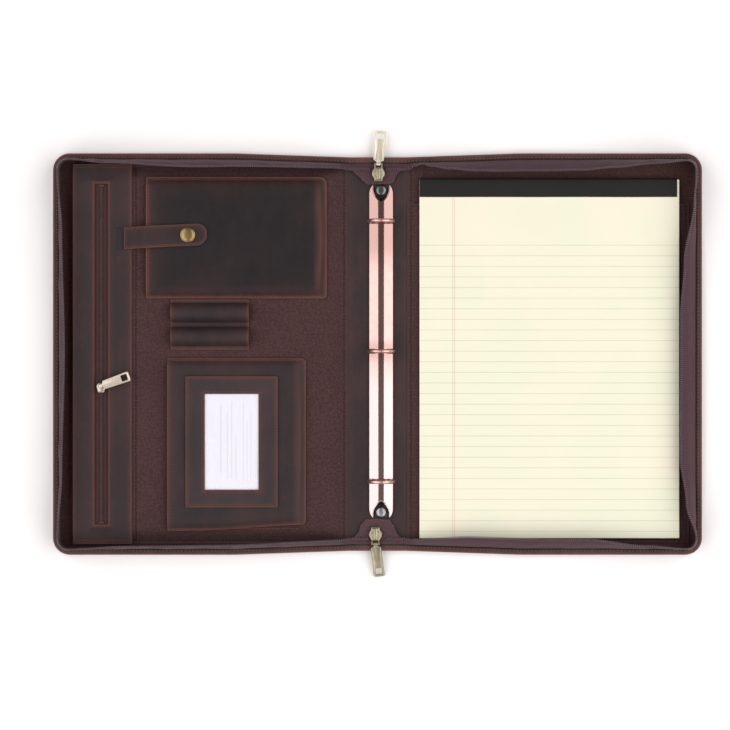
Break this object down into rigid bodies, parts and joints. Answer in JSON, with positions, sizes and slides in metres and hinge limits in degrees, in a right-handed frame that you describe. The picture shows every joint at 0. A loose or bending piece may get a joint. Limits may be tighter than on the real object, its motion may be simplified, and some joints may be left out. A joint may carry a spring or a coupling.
{
  "type": "portfolio case",
  "caption": "Zip-round leather portfolio lying open: ring binder spine, organiser with tablet, phone, pen, card and zip pockets on one cover, writing pad in a pocket on the other.",
  "frame": {"origin": "middle of the underside of the spine, on the table the open case lies on", "axes": "+X along the open case towards the writing pad, +Y up the page along the spine, +Z away from the table"},
  "size_m": [0.54, 0.3716, 0.0271],
  "materials": {
    "outer_leather": "waxed dark brown leather with rubbed reddish edges",
    "pocket_leather": "waxed dark brown leather",
    "board": "grey board",
    "lining_cloth": "woven brown cloth",
    "gusset_cloth": "woven purplish brown cloth",
    "zip_tape": "woven zip tape",
    "zip_coil": "dark brown nylon coil",
    "copper_metal": "polished copper plating",
    "gunmetal": "dark polished steel",
    "pull_metal": "pale champagne plating",
    "aged_metal": "dull olive brass plating",
    "brass_snap": "antique brass",
    "steel": "plain steel",
    "pad_paper": "pale yellow ruled paper",
    "pad_board": "brown chipboard",
    "pad_binding": "black binding paper",
    "insert_card": "white card",
    "clear_film": "clear vinyl"
  },
  "bodies": {
    "back_cover": {"back_leather": "outer_leather", "back_board": "board", "back_lining": "lining_cloth", "back_gusset": "gusset_cloth", "back_zip_tape": "zip_tape", "back_zip_coil": "zip_coil", "pad_pocket_panel": "pocket_leather"},
    "writing_pad": {"pad_backing_board": "pad_board", "pad_sheets": "pad_paper", "pad_binding": "pad_binding"},
    "top_sheet": {"pad_top_sheet": "pad_paper"},
    "spine": {"spine_leather": "outer_leather", "spine_board": "board", "spine_lining": "pocket_leather", "ring_cover_plate": "copper_metal", "ring_rivets": "gunmetal", "rivet_washers": "steel", "zip_end_tab_top": "gusset_cloth", "zip_end_tab_bottom": "gusset_cloth", "top_slider": "pull_metal", "bottom_slider": "aged_metal", "top_bail_pin": "pull_metal", "bottom_bail_pin": "aged_metal"},
    "left_ring_blade": {"left_blade": "steel", "left_half_rings": "copper_metal"},
    "right_ring_blade": {"right_blade": "steel", "right_half_rings": "copper_metal"},
    "top_zip_pull": {"top_pull": "pull_metal"},
    "bottom_zip_pull": {"bottom_pull": "aged_metal"},
    "front_cover": {"front_leather": "outer_leather", "front_board": "board", "front_lining": "lining_cloth", "front_gusset": "gusset_cloth", "front_zip_tape": "zip_tape", "front_zip_coil": "zip_coil", "organizer_panel": "lining_cloth", "zip_pocket_bag": "lining_cloth", "zip_pocket_leather": "pocket_leather", "pocket_zip_tapes": "zip_tape", "pocket_zip_coil": "zip_coil", "pocket_zip_stops": "pull_metal", "phone_pocket": "pocket_leather", "snap_stud": "brass_snap", "strap_anchor": "pocket_leather", "pen_loops": "pocket_leather", "card_pocket": "pocket_leather", "window_frame": "pocket_leather", "window_film": "clear_film", "window_card": "insert_card"},
    "pocket_zip_slider": {"pocket_slider": "pull_metal", "pocket_bail_pin": "pull_metal"},
    "pocket_zip_pull": {"pocket_pull": "pull_metal"},
    "strap": {"phone_strap": "pocket_leather", "snap_cap": "brass_snap", "snap_socket": "brass_snap"}
  },
  "joints": [
    {"name": "spine_fold", "type": "hinge", "parent": "back_cover", "child": "spine", "pos_m": [0.0235, 0, 0.0016], "axis": [0, 1, 0], "range_deg": [0, 90]},
    {"name": "front_fold", "type": "hinge", "parent": "spine", "child": "front_cover", "pos_m": [-0.0235, 0, 0.0016], "axis": [0, 1, 0], "range_deg": [0, 90]},
    {"name": "ring_left_open", "type": "hinge", "parent": "spine", "child": "left_ring_blade", "pos_m": [-0.0059, 0.0023, 0.0057], "axis": [0, 1, 0], "range_deg": [-18, 0]},
    {"name": "ring_right_open", "type": "hinge", "parent": "spine", "child": "right_ring_blade", "pos_m": [0.0119, 0.0023, 0.0057], "axis": [0, 1, 0], "range_deg": [0, 18]},
    {"name": "top_pull_swing", "type": "hinge", "parent": "spine", "child": "top_zip_pull", "pos_m": [0.0007, 0.1578, 0.0087], "axis": [-1, 0, 0], "range_deg": [-120, 0]},
    {"name": "bottom_pull_swing", "type": "hinge", "parent": "spine", "child": "bottom_zip_pull", "pos_m": [-0.0017, -0.1578, 0.0087], "axis": [1, 0, 0], "range_deg": [-120, 0]},
    {"name": "pocket_zip_slide", "type": "slide", "parent": "front_cover", "child": "pocket_zip_slider", "axis": [0, 1, 0], "range_m": [-0.106, 0.162]},
    {"name": "pocket_pull_swing", "type": "hinge", "parent": "pocket_zip_slider", "child": "pocket_zip_pull", "pos_m": [-0.2292, -0.028, 0.0173], "axis": [-0.2756, 0.9613, 0], "range_deg": [-150, 0]},
    {"name": "strap_lift", "type": "hinge", "parent": "front_cover", "child": "strap", "pos_m": [-0.21055, 0.096, 0.0143], "axis": [0, 1, 0], "range_deg": [-140, 0]},
    {"name": "pad_slide", "type": "slide", "parent": "back_cover", "child": "writing_pad", "axis": [0, -1, 0], "range_m": [-0.012, 0]},
    {"name": "page_flip", "type": "hinge", "parent": "writing_pad", "child": "top_sheet", "pos_m": [0.1427, 0.1304, 0.00987], "axis": [1, 0, 0], "range_deg": [-130, 0]}
  ],
  "couplings": [
    {"joint": "ring_right_open", "follows": "ring_left_open", "ratio": -1}
  ]
}
